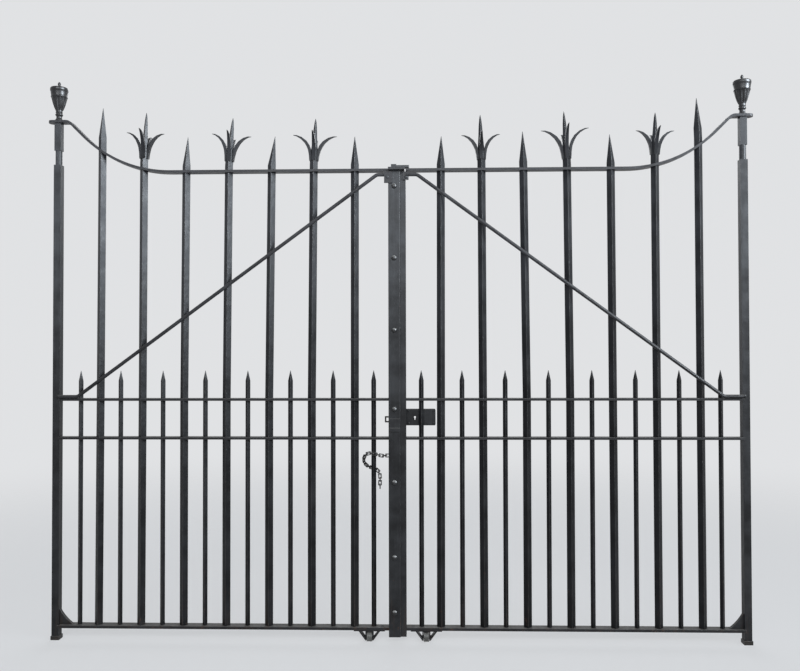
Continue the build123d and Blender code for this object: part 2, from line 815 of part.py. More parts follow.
def right_leaf():
    """Every piece on the right."""
    pieces = leaf_ironwork(right_bars)
    front_y = strip_rest_gap - meeting_stile_half
    pieces["meeting_stile"] = meeting_stile(front_y, top_rail_under_z - catch_clearance)
    pieces["top_rail"] = right_top_rail()
    pieces["brace"] = brace(front_y, right_palm_width, right_palm_height)
    pieces["lock_case"] = lock_case()
    pieces["lock_bolt"] = lock_bolt()
    return {f"right_{name}": to_right(shape) for name, shape in pieces.items()}


os.makedirs("parts", exist_ok=True)
for node, shape in {**left_leaf(), **right_leaf()}.items():
    export_step(shape, f"parts/{node}.step")
    print(node, round(shape.volume / 1000, 2), "cm3")
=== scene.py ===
# %% [markdown]
# # A pair of wrought iron driveway gates
# The gates are two hinged leaves of black painted wrought iron: square bars set on edge, forged
# spikes with four barbs, a rail that sweeps up to a fluted urn, and small wheels at the middle.
# The exact solids come in as a fixed frame. This lesson adds the camera and the light, gives the
# iron its worn paint, and makes the parts that are too small or too decorative for the solids:
# rivets, bolts, a keep plate and the fluted urns.

# %% Load the frame
import bpy
import math
from mathutils import Matrix, Vector


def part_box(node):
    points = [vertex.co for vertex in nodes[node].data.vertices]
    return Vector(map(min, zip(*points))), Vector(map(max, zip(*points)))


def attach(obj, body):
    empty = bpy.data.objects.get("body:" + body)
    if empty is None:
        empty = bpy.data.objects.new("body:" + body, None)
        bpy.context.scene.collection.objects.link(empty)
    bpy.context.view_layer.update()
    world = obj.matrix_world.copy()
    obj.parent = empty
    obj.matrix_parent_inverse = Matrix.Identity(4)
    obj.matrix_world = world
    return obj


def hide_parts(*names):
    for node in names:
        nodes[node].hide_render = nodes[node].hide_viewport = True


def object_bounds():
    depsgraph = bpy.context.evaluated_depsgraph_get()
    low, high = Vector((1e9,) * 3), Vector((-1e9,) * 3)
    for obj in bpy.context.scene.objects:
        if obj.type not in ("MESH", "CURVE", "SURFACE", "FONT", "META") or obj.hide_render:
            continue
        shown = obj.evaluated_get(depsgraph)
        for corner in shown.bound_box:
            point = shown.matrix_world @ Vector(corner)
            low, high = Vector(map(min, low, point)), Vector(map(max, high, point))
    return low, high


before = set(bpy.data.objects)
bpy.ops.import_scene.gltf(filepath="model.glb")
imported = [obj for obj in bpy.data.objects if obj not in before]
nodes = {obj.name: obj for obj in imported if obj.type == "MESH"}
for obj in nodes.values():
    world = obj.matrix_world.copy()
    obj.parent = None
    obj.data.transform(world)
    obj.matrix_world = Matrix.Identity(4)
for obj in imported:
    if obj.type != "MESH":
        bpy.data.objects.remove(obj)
cad_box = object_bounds()
print("nodes in the frame:", len(nodes))

# %% [markdown]
# ## Camera
# The photograph was taken from eye height, a little right of the middle and about three and a
# quarter metres from the gates. The camera's place and its small turns were worked out from the
# known places of the bars and rails, so the camera is set by numbers and not by eye.
# Its three own directions are worked out first: where it looks, its right and its up.

# %% Set the camera
FOCAL_PIXELS = 785.0
IMAGE_WIDTH = 800
CAMERA_PLACE = Vector((1.517, -3.252, 1.205))
YAW, PITCH, ROLL = -0.0257, 0.0166, -0.0021

ahead = Vector((math.sin(YAW) * math.cos(PITCH), math.cos(YAW) * math.cos(PITCH), math.sin(PITCH)))
level_right = Vector((math.cos(YAW), -math.sin(YAW), 0.0))
level_up = level_right.cross(ahead)
right = math.cos(ROLL) * level_right + math.sin(ROLL) * level_up
up = math.cos(ROLL) * level_up - math.sin(ROLL) * level_right

camera_data = bpy.data.cameras.new("eye_height_camera")
camera_data.sensor_fit = "HORIZONTAL"
camera_data.sensor_width = 36.0
camera_data.lens = FOCAL_PIXELS / IMAGE_WIDTH * camera_data.sensor_width
camera = bpy.data.objects.new("eye_height_camera", camera_data)
turn = Matrix((right, up, -ahead)).transposed()
camera.matrix_world = Matrix.Translation(CAMERA_PLACE) @ turn.to_4x4()
bpy.context.scene.collection.objects.link(camera)
bpy.context.scene.camera = camera
bpy.context.scene.view_settings.view_transform = "Standard"
print("lens in mm:", round(camera_data.lens, 2))

# %% [markdown]
# ## Shader maths
# Most of a finish is arithmetic on masks: how rusty, how dusty, how rough. Wiring Math nodes by
# hand hides that arithmetic, so one small class wraps a node's socket and lets Python's own signs
# add the Math nodes. Any other node comes from `Wire.node`, which takes the node's type, its
# settings and the values or links of its inputs.

# %% A socket that can be used in sums
class Wire:
    """A node's output that can be used in sums, so that 1 - mask adds its own Math node."""

    def __init__(self, socket):
        self.socket = socket
        self.tree = socket.id_data

    @staticmethod
    def node(tree, kind, settings=None, inputs=None):
        """Add a node; its settings are set first, then the values or links of its inputs."""
        node = tree.nodes.new(kind)
        for name, value in (settings or {}).items():
            setattr(node, name, value)
        for name, value in (inputs or {}).items():
            if isinstance(value, Wire):
                tree.links.new(value.socket, node.inputs[name])
            else:
                node.inputs[name].default_value = value
        return Wire(node.outputs[0]) if len(node.outputs) else node

    def part(self, output):
        """Another output of the same node."""
        return Wire(self.socket.node.outputs[output])

    def maths(self, operation, first, second=0.0):
        """A Math node on two values, either of which may be a plain number."""
        return Wire.node(self.tree, "ShaderNodeMath", {"operation": operation},
                         {0: first, 1: second})

    def __add__(self, other):
        return self.maths("ADD", self, other)

    def __sub__(self, other):
        return self.maths("SUBTRACT", self, other)

    def __rsub__(self, other):
        return self.maths("SUBTRACT", other, self)

    def __mul__(self, other):
        return self.maths("MULTIPLY", self, other)

    def most(self, other):
        """The larger of two values."""
        return self.maths("MAXIMUM", self, other)

    def step(self, low, high, bottom=0.0, top=1.0):
        """A smooth step from bottom to top as the value goes from low to high."""
        settings = {"interpolation_type": "SMOOTHSTEP"}
        sizes = {"Value": self, "From Min": low, "From Max": high, "To Min": bottom, "To Max": top}
        return Wire.node(self.tree, "ShaderNodeMapRange", settings, sizes)

    __radd__ = __add__
    __rmul__ = __mul__


# A Mix node has sockets for every kind of value. These are the places of the ones for colours.
MIX_FACTOR, FIRST_COLOUR, SECOND_COLOUR = 0, 6, 7
MIXED_COLOUR = 2


def blend(mask, first, second):
    """A colour that goes from the first to the second as the mask goes from 0 to 1."""
    mixed = Wire.node(mask.tree, "ShaderNodeMix", {"data_type": "RGBA"},
                      {MIX_FACTOR: mask, FIRST_COLOUR: first, SECOND_COLOUR: second})
    return mixed.part(MIXED_COLOUR)


print("wires ready")

# %% [markdown]
# ## Background
# The world looks near white to the camera and in reflections, but lights the iron as a soft grey,
# so the background's brightness and the iron's are set apart. Light Path tells the two kinds of
# ray from each other, and a Mix Shader picks the background for each.

# %% Pale world
PALE = (0.75, 0.76, 0.775, 1.0)
SOFT_SKY = (0.82, 0.88, 0.97, 1.0)
SKY_STRENGTH = 0.34


def seen_directly(tree):
    """1 for the rays that show the camera something, straight, in a mirror or through glass."""
    ray = Wire.node(tree, "ShaderNodeLightPath")
    straight_or_mirrored = ray.part("Is Camera Ray").most(ray.part("Is Glossy Ray"))
    return straight_or_mirrored.most(ray.part("Is Transmission Ray"))


world = bpy.data.worlds.new("pale_studio")
bpy.context.scene.world = world
world.use_nodes = True
sky = world.node_tree
sky.nodes.clear()
lighting = Wire.node(sky, "ShaderNodeBackground",
                     inputs={"Color": SOFT_SKY, "Strength": SKY_STRENGTH})
backdrop = Wire.node(sky, "ShaderNodeBackground", inputs={"Color": PALE, "Strength": 1.0})
either = Wire.node(sky, "ShaderNodeMixShader",
                   inputs={0: seen_directly(sky), 1: lighting, 2: backdrop})
Wire.node(sky, "ShaderNodeOutputWorld", inputs={"Surface": either})
print("world:", world.name)

# %% [markdown]
# ## Floor
# A gate is judged by where it meets the ground, so it needs a floor that keeps its shadow. A wall
# behind it would hide the open ironwork's other side in the side views. A plain disc does both
# jobs: it is opaque round the gates and turns see-through further out, so it has no visible edge.
# All its distances are in metres from the middle of the gates.
# Lamps never light a floor evenly, so more than half of what the camera sees of it is the
# backdrop's own colour, and the rest is real light, which keeps the shadow of the gates. Further
# out, where the lamps hardly reach and no shadow falls, the backdrop's share grows to the whole.

# %% Round floor that fades into the background
FLOOR_RADIUS = 16.0
RIM_SIDES = 96
FADE_START, FADE_END = 2.2, 9.5
EVEN_START, EVEN_END = 1.6, 6.5
OWN_PALE_SHARE = 0.6
FLOOR_GREY = (0.78, 0.78, 0.78, 1.0)
middle = (cad_box[0] + cad_box[1]) / 2
rim = [(middle.x + FLOOR_RADIUS * math.cos(a), middle.y + FLOOR_RADIUS * math.sin(a), 0.0)
       for a in (2 * math.pi * n / RIM_SIDES for n in range(RIM_SIDES))]
floor_mesh = bpy.data.meshes.new("floor")
floor_mesh.from_pydata(rim, [], [tuple(range(RIM_SIDES))])
floor = bpy.data.objects.new("floor", floor_mesh)
bpy.context.scene.collection.objects.link(floor)


def new_material(name):
    """An empty material, ready for its nodes."""
    material = bpy.data.materials.new(name)
    material.use_nodes = True
    material.node_tree.nodes.clear()
    return material, material.node_tree


floor_paint, tree = new_material("pale_floor")
place = Wire.node(tree, "ShaderNodeTexCoord").part("Object")
from_middle = Wire.node(tree, "ShaderNodeVectorMath", {"operation": "DISTANCE"},
                        {0: place, 1: (middle.x, middle.y, 0.0)}).part("Value")
matt = Wire.node(tree, "ShaderNodeBsdfPrincipled",
                 inputs={"Base Color": FLOOR_GREY, "Roughness": 0.95, "Specular IOR Level": 0.1})
pale = Wire.node(tree, "ShaderNodeEmission", inputs={"Color": PALE, "Strength": 1.0})
own_pale = from_middle.step(EVEN_START, EVEN_END, OWN_PALE_SHARE, 1.0)
evened = Wire.node(tree, "ShaderNodeMixShader",
                   inputs={0: seen_directly(tree) * own_pale, 1: matt, 2: pale})
clear = Wire.node(tree, "ShaderNodeBsdfTransparent")
faded = Wire.node(tree, "ShaderNodeMixShader",
                  inputs={0: from_middle.step(FADE_START, FADE_END), 1: evened, 2: clear})
Wire.node(tree, "ShaderNodeOutputMaterial", inputs={"Surface": faded})
floor_mesh.materials.append(floor_paint)
print("floor radius:", FLOOR_RADIUS)

# %% [markdown]
# ## Light
# Black iron shows its shape mostly by what it reflects. Bars set on edge have one face to the left
# and one to the right, and in the photograph the left leaf's right-hand faces shine blue grey while
# all the others stay dark. A soft panel far to the right, a little in front of the gates, does
# that: only those faces mirror it. Its diffuse light is switched off, because that would fall on
# both leaves alike. Wide soft panels in front and on the right fill the rest. All hang above head
# height, as an overcast sky does, so every face mirrors more of them near the top of the gates than
# near the ground, and the iron darkens downwards. A weak panel behind shows the ironwork's back.
# Each panel has a narrow spread, like a softbox with a grid, so it lights the gates and leaves the
# floor even, and the camera never sees the panels themselves.

# %% Soft panels
SPREAD_DEGREES = 85.0
SOFT_WHITE = (0.93, 0.97, 1.0)
COOL_WHITE = (0.84, 0.92, 1.0)


def panel(name, place, target, width, height, power, tint, only_mirrored=False):
    """A rectangular area lamp that faces a target, in metres and watts. One that is only mirrored
    shows in the iron's shine and lights nothing else."""
    data = bpy.data.lights.new(name, "AREA")
    data.shape = "RECTANGLE"
    data.size = width
    data.size_y = height
    data.energy = power
    data.color = tint
    data.spread = math.radians(SPREAD_DEGREES)
    lamp = bpy.data.objects.new(name, data)
    facing = (Vector(target) - Vector(place)).to_track_quat("-Z", "Y")
    lamp.matrix_world = Matrix.Translation(place) @ facing.to_matrix().to_4x4()
    lamp.visible_camera = False
    lamp.visible_diffuse = not only_mirrored
    bpy.context.scene.collection.objects.link(lamp)


panel("front_fill", (1.2, -6.2, 4.1), (1.42, 0.0, 1.3), 6.0, 3.4, 95.0, SOFT_WHITE)
panel("right_fill", (7.6, -3.0, 3.5), (1.0, 0.0, 1.4), 4.2, 3.6, 30.0, COOL_WHITE)
panel("right_panel", (7.4, -3.4, 4.2), (0.7, 0.0, 1.7), 3.8, 3.4, 430.0, COOL_WHITE,
      only_mirrored=True)
panel("back_fill", (1.6, 6.6, 4.6), (1.42, 0.0, 1.2), 6.0, 3.0, 40.0, SOFT_WHITE)

# %% [markdown]
# ## Finishes
# The gates carry old satin black paint on forged iron. Up close such paint is never one colour: it
# is dulled by chalk in broad soft clouds, hammered underneath, brown where rust has come through,
# pale with dust on top of level faces, and dirty near the ground. Each of these is one mask, made
# from noise at the size it really has, and the masks are then summed into colour, roughness and
# bump.
# The paint also carries painted light: it is made paler higher up and darker lower down, as the
# overhead light falls, and the bolt heads get a painted highlight on their tops.
# Rust, dirt and the painted light read the height in the object, because every object here sits at
# the origin.

# %% Painted iron
# Scale, detail and roughness of each noise. A scale of 9 makes patches about 11 cm across.
CLOUDS = (9.0, 6.0, 0.62)
STREAKS = (60.0, 4.0, 0.60)
GRIT = (420.0, 3.0, 0.60)
RUST_SPOTS = (38.0, 9.0, 0.70)
CHIPS = (150.0, 6.0, 0.70)
PITS = (190.0, 4.0, 0.60)
HAMMER_MARKS = (34.0, 2.0, 0.40)
EVEN, DOWNWARD = (1.0, 1.0, 1.0), (1.0, 1.0, 0.07)
# Heights in metres: dirt splashes up from full to none, and painted light, the chalk made paler
# higher up as the overhead light falls, grows from none to full
SPLASH_NONE, SPLASH_FULL = 0.55, 0.02
PAINTED_LIGHT_NONE, PAINTED_LIGHT_FULL = 0.85, 2.00
DIRT_COLOUR = (0.018, 0.011, 0.008, 1.0)
RUST_COLOUR = (0.052, 0.027, 0.017, 1.0)
DUST_COLOUR = (0.16, 0.15, 0.14, 1.0)
CHIPPED_COLOUR = (0.10, 0.095, 0.09, 1.0)
# The pale colour of a painted highlight on the tops of the bolt heads
PAINTED_HIGHLIGHT_COLOUR = (0.34, 0.34, 0.33, 1.0)


def metal_noise(tree, place, scale, detail, roughness, stretch=EVEN):
    """Noise of about 1 / scale metres, longer along an axis whose stretch is small."""
    sized = Wire.node(tree, "ShaderNodeMapping", inputs={"Vector": place, "Scale": stretch})
    return Wire.node(tree, "ShaderNodeTexNoise",
                     inputs={"Vector": sized, "Scale": scale, "Detail": detail,
                             "Roughness": roughness})


def facing_up(tree):
    """How far a face looks up, from 0 for an upright face to 1 for a level one."""
    normal = Wire.node(tree, "ShaderNodeNewGeometry").part("Normal")
    split = Wire.node(tree, "ShaderNodeSeparateXYZ", inputs={0: normal})
    return split.part("Z")


def painted_iron(name, paint, chalk, rust_share, specular, wear=0.0, least_rough=0.32,
                 painted_highlight_top=0.0, hammered=0.8):
    """Old black paint: clouds of chalk, hammered iron under it, rust spots, dust and splashed dirt,
    and painted light that makes the paint paler higher up and darker lower down, as the light
    falls.
    A higher rust_share shows more rust, wear shows bare metal, the top share paints a pale
    highlight on faces that look up, as where the light catches them, and hammered is how deep the
    hammer marks are."""
    material, tree = new_material(name)
    place = Wire.node(tree, "ShaderNodeTexCoord").part("Object")
    height = Wire.node(tree, "ShaderNodeSeparateXYZ", inputs={0: place}).part("Z")

    clouds = metal_noise(tree, place, *CLOUDS).step(0.32, 0.70)
    streaks = metal_noise(tree, place, *STREAKS, DOWNWARD).step(0.42, 0.75)
    grit = metal_noise(tree, place, *GRIT)
    pits = metal_noise(tree, place, *PITS)
    low_down = height.step(SPLASH_NONE, SPLASH_FULL)
    # Painted light: the paint is made paler higher up and darker lower down, as the overhead light
    # falls
    painted_light_by_height = height.step(PAINTED_LIGHT_NONE, PAINTED_LIGHT_FULL)
    spots = metal_noise(tree, place, *RUST_SPOTS)
    rust = (spots + 0.08 * low_down + rust_share).step(0.64, 0.73)
    dust = (facing_up(tree) + 0.5 * grit).step(0.72, 1.25)
    dirt = (low_down * (0.35 + streaks)).step(0.35, 1.2)
    chips = (metal_noise(tree, place, *CHIPS) + wear).step(0.68, 0.72)

    # The chalk clouds are the paint's own random tone; their growth with height and the added
    # height share are painted light
    chalk_and_painted_light = (clouds * 0.55 + streaks * 0.25) * (0.30 + 0.70 * painted_light_by_height) + painted_light_by_height * 0.30
    colour = blend(chalk_and_painted_light, paint, chalk)
    colour = blend(dirt * 0.6, colour, DIRT_COLOUR)
    colour = blend(rust * 0.8, colour, RUST_COLOUR)
    colour = blend(dust * 0.5, colour, DUST_COLOUR)
    colour = blend(chips * 0.6, colour, CHIPPED_COLOUR)
    # Painted highlight: faces that look up are painted pale, as where the light catches them
    if painted_highlight_top:
        upper = (facing_up(tree) + 0.6 * pits).step(0.45, 0.95)
        colour = blend(upper * painted_highlight_top, colour, PAINTED_HIGHLIGHT_COLOUR)
    rough = least_rough + 0.16 * clouds + 0.12 * grit + 0.28 * rust + 0.22 * dust + 0.12 * dirt

    hammer = metal_noise(tree, place, *HAMMER_MARKS)
    lumps = hammer * hammered + pits * 0.16 + grit * 0.06 + rust * 0.20 - chips * 0.10
    bump = Wire.node(tree, "ShaderNodeBump",
                     inputs={"Strength": 0.75, "Distance": 0.0016, "Height": lumps})
    surface = Wire.node(tree, "ShaderNodeBsdfPrincipled",
                        inputs={"Base Color": colour, "Roughness": rough, "Normal": bump,
                                "Specular IOR Level": specular})
    Wire.node(tree, "ShaderNodeOutputMaterial", inputs={"Surface": surface})
    return material


# Each finish's second colour is its chalk, which the painted light also uses to make the iron paler
# higher up
BLACK = (0.0060, 0.0061, 0.0068, 1.0)
WARM_BLACK = (0.0075, 0.0066, 0.0060, 1.0)
bar_iron = painted_iron("painted_bar_iron", BLACK, (0.044, 0.046, 0.052, 1.0),
                        rust_share=-0.03, specular=0.14, least_rough=0.25)
rail_iron = painted_iron("painted_rail_iron", (0.008, 0.008, 0.009, 1.0),
                         (0.052, 0.052, 0.058, 1.0), rust_share=0.0, specular=0.24)
plate_iron = painted_iron("painted_plate_iron", BLACK, (0.090, 0.094, 0.102, 1.0),
                          rust_share=-0.04, specular=0.20)
urn_iron = painted_iron("painted_urn_iron", (0.004, 0.004, 0.005, 1.0),
                        (0.014, 0.014, 0.016, 1.0), rust_share=-0.05, specular=0.45,
                        least_rough=0.24, hammered=0.15)
chain_iron = painted_iron("rusty_chain_iron", WARM_BLACK, (0.024, 0.018, 0.014, 1.0),
                          rust_share=0.06, specular=0.24)
cup_iron = painted_iron("dirty_cast_iron", (0.016, 0.014, 0.012, 1.0),
                        (0.040, 0.036, 0.032, 1.0), rust_share=-0.03, specular=0.26)
wheel_iron = painted_iron("worn_cast_iron", (0.085, 0.085, 0.080, 1.0),
                          (0.17, 0.17, 0.155, 1.0), rust_share=-0.02, specular=0.40, wear=0.04)
# The bolt heads' tops are painted pale as a highlight, where the light catches the domes
bolt_iron = painted_iron("bolt_iron_painted_highlight", (0.007, 0.007, 0.008, 1.0),
                         (0.020, 0.020, 0.022, 1.0), rust_share=-0.04, specular=0.50,
                         least_rough=0.24, painted_highlight_top=0.65)
worn_edge = painted_iron("rubbed_edge_iron", (0.012, 0.011, 0.011, 1.0),
                         (0.080, 0.078, 0.080, 1.0), rust_share=0.06, specular=0.45,
                         wear=0.10, least_rough=0.26)
print("finishes:", [m.name for m in bpy.data.materials])

# %% [markdown]
# ## Forged edges
# A bar that came off the anvil has no knife edge, and it is that narrow rounded edge which catches
# the light. The frame's solids have exact sharp edges and loose triangles. Modelling the rounding
# by hand would be slow, so a short stack of modifiers does it for every solid: a node tree welds
# the triangles and smooths the shading, Decimate joins the triangles of each flat face again,
# Bevel rounds the edges that are left, and Weighted Normal keeps the flat faces flat. Edges are
# also where hands and weather rub paint away first, so Bevel gives its narrow faces the second
# material, a rubbed edge. Modifiers leave the solid's own mesh as it was.

# %% A node tree that welds the loose triangles
def new_tree(name):
    """A geometry node tree with a geometry input and output."""
    tree = bpy.data.node_groups.new(name, "GeometryNodeTree")
    tree.interface.new_socket("Geometry", in_out="INPUT", socket_type="NodeSocketGeometry")
    tree.interface.new_socket("Geometry", in_out="OUTPUT", socket_type="NodeSocketGeometry")
    entry = tree.nodes.new("NodeGroupInput")
    return tree, entry


def new_size(tree, name, value, kind="NodeSocketFloat"):
    """A named input of the tree with its usual value."""
    socket = tree.interface.new_socket(name, in_out="INPUT", socket_type=kind)
    if value is not None:
        socket.default_value = value


weld_tree, entry = new_tree("weld_and_smooth")
new_size(weld_tree, "Weld Distance", 0.00001)
loose = Wire(entry.outputs["Geometry"])
plain = Wire.node(weld_tree, "GeometryNodeRemoveAttribute", {"pattern_mode": "EXACT"},
                  {"Geometry": loose, "Name": "custom_normal"})
welded = Wire.node(weld_tree, "GeometryNodeMergeByDistance",
                   inputs={"Geometry": plain, "Distance": Wire(entry.outputs["Weld Distance"])})
smooth = Wire.node(weld_tree, "GeometryNodeSetShadeSmooth", inputs={"Geometry": welded})
Wire.node(weld_tree, "NodeGroupOutput", inputs={"Geometry": smooth})
print("tree:", weld_tree.name)

# %% Round the edges of the frame's solids
FLAT_WITHIN = math.radians(0.4)
EDGE_FROM = math.radians(28.0)


def forge_edges(solid, radius):
    """Weld, join flat faces, round the sharp edges and keep the flats flat."""
    weld = solid.modifiers.new("weld", "NODES")
    weld.node_group = weld_tree
    flats = solid.modifiers.new("flats", "DECIMATE")
    flats.decimate_type = "DISSOLVE"
    flats.angle_limit = FLAT_WITHIN
    rounding = solid.modifiers.new("rounding", "BEVEL")
    rounding.width = radius
    rounding.segments = 2
    rounding.limit_method = "ANGLE"
    rounding.angle_limit = EDGE_FROM
    rounding.use_clamp_overlap = True
    rounding.material = 1
    even = solid.modifiers.new("even", "WEIGHTED_NORMAL")
    even.keep_sharp = False


# The first word found in a solid's name gives its finish and its edges' width in metres
FINISH_BY_WORD = [
    ("footstep", cup_iron, 0.0012),
    ("wheel_bracket", plate_iron, 0.0006),
    ("wheel", wheel_iron, 0.0012),
    ("chain", chain_iron, 0.0009),
    ("bolt_staple", chain_iron, 0.0008),
    ("tall_bars", bar_iron, 0.0009),
    ("dog_bars", bar_iron, 0.0007),
    ("barbs", bar_iron, 0.0006),
    ("rail", rail_iron, 0.0010),
    ("brace", rail_iron, 0.0008),
    ("", plate_iron, 0.0011),
]
STAND_INS = ("left_urn", "right_urn")

for name, solid in sorted(nodes.items()):
    if name in STAND_INS:
        continue
    finish, radius = next((f, r) for word, f, r in FINISH_BY_WORD if word in name)
    solid.data.materials.clear()
    solid.data.materials.append(finish)
    solid.data.materials.append(worn_edge)
    forge_edges(solid, radius)
print("solids finished:", len(nodes) - len(STAND_INS))

# %% [markdown]
# ## Bare steel
# The lock bolt is the one part that was never painted, because it slides. Bare mild steel is a
# metal with fine scratches along its travel and some brown spots.

# %% Steel of the lock bolt
bare_steel, tree = new_material("bare_steel")
place = Wire.node(tree, "ShaderNodeTexCoord").part("Object")
scratches = metal_noise(tree, place, 900.0, 3.0, 0.6, (0.04, 1.0, 1.0))
brown = metal_noise(tree, place, 160.0, 5.0, 0.65).step(0.55, 0.70)
colour = blend(scratches, (0.33, 0.32, 0.31, 1.0), (0.50, 0.49, 0.47, 1.0))
colour = blend(brown * 0.7, colour, (0.13, 0.06, 0.03, 1.0))
fine = Wire.node(tree, "ShaderNodeBump",
                 inputs={"Strength": 0.3, "Distance": 0.0003, "Height": scratches})
steel = Wire.node(tree, "ShaderNodeBsdfPrincipled",
                  inputs={"Base Color": colour, "Metallic": 1.0 - 0.8 * brown,
                          "Roughness": 0.3 + 0.4 * brown, "Normal": fine})
Wire.node(tree, "ShaderNodeOutputMaterial", inputs={"Surface": steel})
bolt = nodes["right_lock_bolt"]
bolt.data.materials.clear()
bolt.data.materials.append(bare_steel)
bolt.modifiers["rounding"].material = 0
print("bare:", bolt.name)

# %% [markdown]
# ## Rivets and bolt heads
# The gates are held together by hammered rivets and by tenons peened over like rivets. Each head is
# a low dome. There are about eighty, so one small node tree makes them all: it takes loose
# points that carry the way each head faces and how large it is, puts a squashed ball on each and
# gives it a slightly different size, as hand work has. One mesh is made for each body.

# %% A node tree that puts a dome on each point
dome_tree, entry = new_tree("dome_heads")
new_size(dome_tree, "Height Share", 0.42)
new_size(dome_tree, "Unevenness", 0.07)
new_size(dome_tree, "Sides", 18, "NodeSocketInt")
new_size(dome_tree, "Seed", 7, "NodeSocketInt")
new_size(dome_tree, "Paint", None, "NodeSocketMaterial")


def read_attribute(tree, name, kind):
    """A named value that each point carries."""
    return Wire.node(tree, "GeometryNodeInputNamedAttribute", {"data_type": kind}, {"Name": name})


points = Wire(entry.outputs["Geometry"])
ball = Wire.node(dome_tree, "GeometryNodeMeshUVSphere",
                 inputs={"Segments": Wire(entry.outputs["Sides"]), "Rings": 9, "Radius": 1.0})
squash = Wire.node(dome_tree, "ShaderNodeCombineXYZ",
                   inputs={"X": 1.0, "Y": 1.0, "Z": Wire(entry.outputs["Height Share"])})
dome = Wire.node(dome_tree, "GeometryNodeTransform", inputs={"Geometry": ball, "Scale": squash})
facing = read_attribute(dome_tree, "facing", "FLOAT_VECTOR")
turned = Wire.node(dome_tree, "FunctionNodeAlignRotationToVector", {"axis": "Z"},
                   {"Vector": facing})
uneven = Wire(entry.outputs["Unevenness"])
LEAST, MOST = 2, 3
chance = Wire.node(dome_tree, "FunctionNodeRandomValue", {"data_type": "FLOAT"},
                   {LEAST: 1.0 - uneven, MOST: 1.0 + uneven,
                    "Seed": Wire(entry.outputs["Seed"])}).part(1)
size = read_attribute(dome_tree, "size", "FLOAT") * chance
heads = Wire.node(dome_tree, "GeometryNodeInstanceOnPoints",
                  inputs={"Points": points, "Instance": dome, "Rotation": turned, "Scale": size})
real = Wire.node(dome_tree, "GeometryNodeRealizeInstances", inputs={"Geometry": heads})
soft = Wire.node(dome_tree, "GeometryNodeSetShadeSmooth", inputs={"Geometry": real})
painted = Wire.node(dome_tree, "GeometryNodeSetMaterial",
                    inputs={"Geometry": soft, "Material": Wire(entry.outputs["Paint"])})
Wire.node(dome_tree, "NodeGroupOutput", inputs={"Geometry": painted})
print("tree:", dome_tree.name)

# %% Turn points with a tree on them into a plain mesh
def bake_tree(name, points, attributes, tree, sizes):
    """Run the tree on loose points and keep its result as a plain mesh."""
    seed_mesh = bpy.data.meshes.new(name + "_points")
    seed_mesh.from_pydata(points, [], [])
    for key, (kind, values) in attributes.items():
        layer = seed_mesh.attributes.new(key, kind, "POINT")
        field = "vector" if kind == "FLOAT_VECTOR" else "value"
        flat = [part for value in values for part in value] if kind == "FLOAT_VECTOR" else values
        layer.data.foreach_set(field, flat)
    piece = bpy.data.objects.new(name, seed_mesh)
    bpy.context.scene.collection.objects.link(piece)
    modifier = piece.modifiers.new("tree", "NODES")
    modifier.node_group = tree
    sockets = {i.name: i.identifier for i in tree.interface.items_tree if i.in_out == "INPUT"}
    for key, value in sizes.items():
        modifier[sockets[key]] = value
    graph = bpy.context.evaluated_depsgraph_get()
    result = bpy.data.meshes.new_from_object(piece.evaluated_get(graph), depsgraph=graph)
    result.name = name
    piece.modifiers.remove(modifier)
    piece.data = result
    return piece


# %% [markdown]
# ## Where the heads sit
# Each head's place comes from the solids' own boxes and the bars' spacing, so the heads stay on the
# iron: seven bolts down the slam strip with their tails behind, two rivets at each brace, peened
# tenons under the bottom rail, and the small ones on the wheel brackets and the lock.

# %% Places of the rivets
# Lengths, heights and head radii in metres. X starts at the left leaf's hanging axis.
PITCH_OF_BARS = 0.1778
SPAN = 8 * PITCH_OF_BARS
END_DOG = 0.0985
TALL_PLACES = [PITCH_OF_BARS * n for n in range(1, 8)]
DOG_PLACES = [END_DOG] + [PITCH_OF_BARS * (n + 0.5) for n in range(1, 7)] + [SPAN - END_DOG]
STRIP_BOLTS = [0.125, 0.350, 0.655, 0.955, 1.280, 1.578, 1.875]
BOLT_X, BOLT_RADIUS = 1.4104, 0.0108
BOLT_TAIL_X, BOLT_TAIL_RADIUS = 1.4085, 0.0092
TALL_TENON, DOG_TENON, RAIL_TENON = 0.0095, 0.0062, 0.0085
BRACE_FOOT, BRACE_FOOT_RADIUS = (0.008, -0.0210, 1.0078), 0.0065
LEFT_BRACE_HEAD, RIGHT_BRACE_HEAD = (1.384, -0.036, 1.912), (1.4608, -0.0277, 1.912)
BRACE_HEAD_RADIUS = 0.0072
WHEEL_X = SPAN - 0.117
FLANGE_HALF, FLANGE_UNDER, FLANGE_ROW = 0.054, 0.0450, 0.008
FLANGE_HEAD, FLANGE_TAIL = 0.0052, 0.0048
AXLE_HALF, AXLE_Z, AXLE_HEAD = 0.0165, 0.020, 0.0062
LOCK_SCREW, LOCK_INSET_X, LOCK_INSET_Z = 0.0046, 0.010, 0.009
upper_low, upper_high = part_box("left_upper_rail")
lower_low, lower_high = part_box("left_lower_rail")
rail_low, rail_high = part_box("left_bottom_rail")
strip_low, strip_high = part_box("left_slam_strip")
case_low, case_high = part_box("right_lock_case")
stile_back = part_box("left_meeting_stile")[1].y
outer_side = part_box("left_hanging_stile")[0].x
FRONT, BACK = (0.0, -1.0, 0.0), (0.0, 1.0, 0.0)
UP, DOWN = (0.0, 0.0, 1.0), (0.0, 0.0, -1.0)
OUTWARD = (-1.0, 0.0, 0.0)


